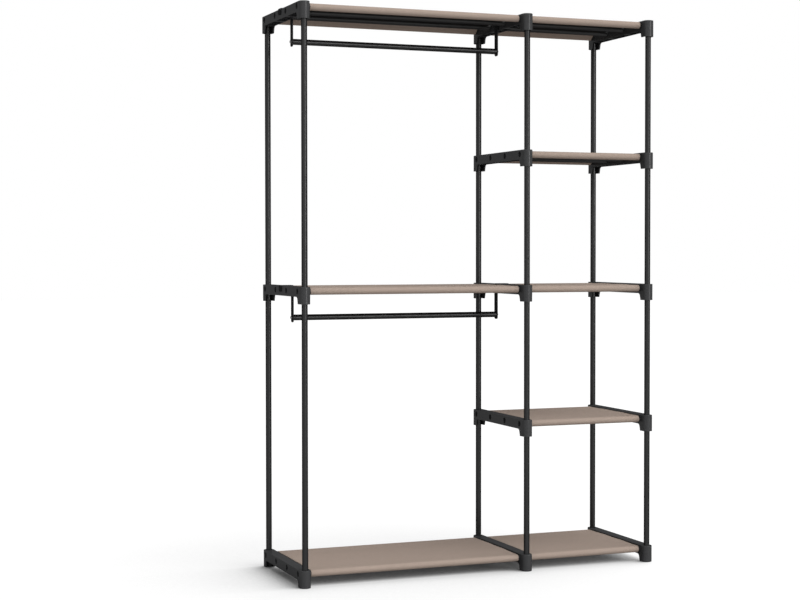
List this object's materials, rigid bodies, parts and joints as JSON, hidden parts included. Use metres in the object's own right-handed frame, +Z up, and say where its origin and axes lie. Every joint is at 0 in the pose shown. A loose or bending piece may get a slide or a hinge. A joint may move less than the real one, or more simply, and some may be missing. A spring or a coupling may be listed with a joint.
{
  "type": "open frame wardrobe",
  "caption": "Free-standing open wardrobe of steel tubes and moulded side brackets, with taut fabric shelves and hanging rails hooked under the wide shelves.",
  "frame": {"origin": "on the floor, in the middle of the footprint", "axes": "+Z up, +X to the right as seen from the front, the front faces -Y"},
  "size_m": [1.2362, 0.4316, 1.813],
  "materials": {
    "bracket_plastic": "charcoal moulded plastic with a fine matt grain",
    "tube_steel": "black powder coat with a soft sheen",
    "hook_steel": "black powder coat on flat strip",
    "shelf_cloth": "taupe woven cloth with sewn sleeves",
    "screw_steel": "dark plated steel screw heads",
    "plug_plastic": "black plastic",
    "foot_rubber": "black rubber"
  },
  "bodies": {
    "frame": {"left_bracket_1": "bracket_plastic", "left_bracket_3": "bracket_plastic", "left_bracket_5": "bracket_plastic", "middle_bracket_1": "bracket_plastic", "middle_bracket_2": "bracket_plastic", "middle_bracket_3": "bracket_plastic", "middle_bracket_4": "bracket_plastic", "middle_bracket_5": "bracket_plastic", "right_bracket_1": "bracket_plastic", "right_bracket_2": "bracket_plastic", "right_bracket_3": "bracket_plastic", "right_bracket_4": "bracket_plastic", "right_bracket_5": "bracket_plastic", "left_front_post_1": "tube_steel", "left_front_post_3": "tube_steel", "middle_front_post_1": "tube_steel", "middle_front_post_2": "tube_steel", "middle_front_post_3": "tube_steel", "middle_front_post_4": "tube_steel", "right_front_post_1": "tube_steel", "right_front_post_2": "tube_steel", "right_front_post_3": "tube_steel", "right_front_post_4": "tube_steel", "left_back_post_1": "tube_steel", "left_back_post_3": "tube_steel", "middle_back_post_1": "tube_steel", "middle_back_post_2": "tube_steel", "middle_back_post_3": "tube_steel", "middle_back_post_4": "tube_steel", "right_back_post_1": "tube_steel", "right_back_post_2": "tube_steel", "right_back_post_3": "tube_steel", "right_back_post_4": "tube_steel", "wide_shelf_tubes_1": "tube_steel", "narrow_shelf_tubes_1": "tube_steel", "narrow_shelf_tubes_2": "tube_steel", "wide_shelf_tubes_3": "tube_steel", "narrow_shelf_tubes_3": "tube_steel", "narrow_shelf_tubes_4": "tube_steel", "wide_shelf_tubes_5": "tube_steel", "narrow_shelf_tubes_5": "tube_steel", "wide_shelf_cloth_1": "shelf_cloth", "narrow_shelf_cloth_1": "shelf_cloth", "narrow_shelf_cloth_2": "shelf_cloth", "wide_shelf_cloth_3": "shelf_cloth", "narrow_shelf_cloth_3": "shelf_cloth", "narrow_shelf_cloth_4": "shelf_cloth", "wide_shelf_cloth_5": "shelf_cloth", "narrow_shelf_cloth_5": "shelf_cloth", "foot_plugs": "foot_rubber"},
    "upper_rail": {"upper_rail_tube": "tube_steel", "upper_rail_left_hook": "hook_steel", "upper_rail_right_hook": "hook_steel", "upper_rail_plugs": "plug_plastic", "upper_rail_screws": "screw_steel"},
    "lower_rail": {"lower_rail_tube": "tube_steel", "lower_rail_left_hook": "hook_steel", "lower_rail_right_hook": "hook_steel", "lower_rail_plugs": "plug_plastic", "lower_rail_screws": "screw_steel"}
  },
  "joints": [
    {"name": "upper_rail_lift", "type": "slide", "parent": "frame", "child": "upper_rail", "axis": [0, 0, 1], "range_m": [0, 0.022]},
    {"name": "lower_rail_lift", "type": "slide", "parent": "frame", "child": "lower_rail", "axis": [0, 0, 1], "range_m": [0, 0.022]}
  ]
}
